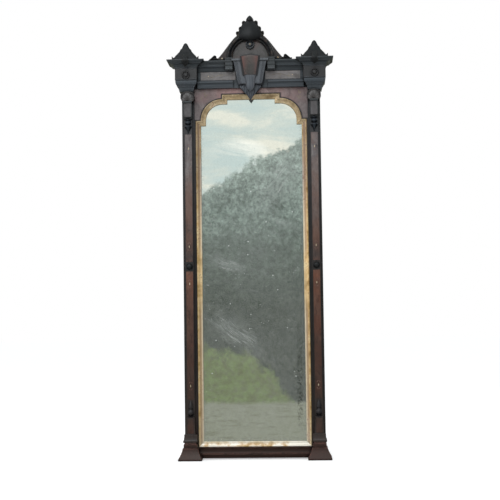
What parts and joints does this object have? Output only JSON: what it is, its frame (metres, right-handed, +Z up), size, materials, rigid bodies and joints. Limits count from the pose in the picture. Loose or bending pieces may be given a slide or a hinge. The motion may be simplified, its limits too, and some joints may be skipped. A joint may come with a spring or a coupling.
{
  "type": "pier mirror",
  "caption": "Tall floor-standing pier mirror: dark walnut pilaster frame, gilt shouldered liner, moulded cornice with corner finials and an arched crest over a keystone.",
  "frame": {"origin": "on the floor, under the middle of the whole object's box", "axes": "+Z up, +X across the front to the viewer's right, the front faces -Y and the back lies in a plane that faces +Y"},
  "size_m": [0.944, 0.148, 2.529],
  "materials": {
    "walnut": "old dark stained walnut, rubbed polish",
    "walnut_shaft": "old dark stained walnut, rubbed polish",
    "walnut_foot": "reddish dark walnut, worn polish",
    "burl_shaft": "burl walnut veneer, polished",
    "burl_frieze": "burl walnut veneer, dusty polish",
    "burl_spandrel": "burl walnut veneer, dusty polish",
    "burl_crest": "burl walnut veneer, dusty polish",
    "burl_shield": "burl walnut veneer, polished",
    "gilt": "water gilding on wood, worn to the bole in places",
    "mirror_plate": "old silvered plate glass, hazy",
    "pine": "unfinished pine, aged",
    "iron": "black iron"
  },
  "bodies": {
    "root": {"left_stile": "walnut_shaft", "right_stile": "walnut_shaft", "top_rail": "walnut", "bottom_rail": "walnut_foot", "bottom_moulding": "walnut_foot", "backboards": "pine", "back_battens": "pine", "back_screws": "iron", "crest_cleats": "pine", "wall_plates": "iron", "mirror_glass": "mirror_plate", "glazing_blocks": "pine", "liner_left": "gilt", "liner_right": "gilt", "liner_bottom": "gilt", "liner_head": "gilt", "outer_bead": "walnut_shaft", "spandrel_panel": "burl_spandrel", "left_plinth": "walnut_foot", "right_plinth": "walnut_foot", "left_pedestal": "walnut_shaft", "right_pedestal": "walnut_shaft", "pedestal_panels": "burl_shaft", "left_pilaster": "walnut_shaft", "right_pilaster": "walnut_shaft", "left_shaft_panels": "burl_shaft", "right_shaft_panels": "burl_shaft", "left_turning": "walnut_shaft", "right_turning": "walnut_shaft", "left_boss": "walnut_shaft", "right_boss": "walnut_shaft", "left_drop": "walnut_shaft", "right_drop": "walnut_shaft", "left_console": "walnut", "right_console": "walnut", "console_panels": "burl_shaft", "left_capital": "walnut", "right_capital": "walnut", "left_neck": "walnut", "right_neck": "walnut", "left_block": "walnut", "right_block": "walnut", "corner_roundels": "walnut", "left_cap": "walnut", "right_cap": "walnut", "left_finial": "walnut", "right_finial": "walnut", "frieze_board": "walnut", "frieze_panels": "burl_frieze", "architrave": "walnut", "cornice": "walnut", "cornice_scrolls": "walnut", "crest_board": "burl_crest", "arch_moulding": "walnut", "tympanum_panel": "burl_crest", "crest_roundel": "walnut", "leaf_cap": "walnut", "keystone": "walnut", "shield_panel": "burl_shield", "pendant": "walnut"}
  },
  "joints": []
}
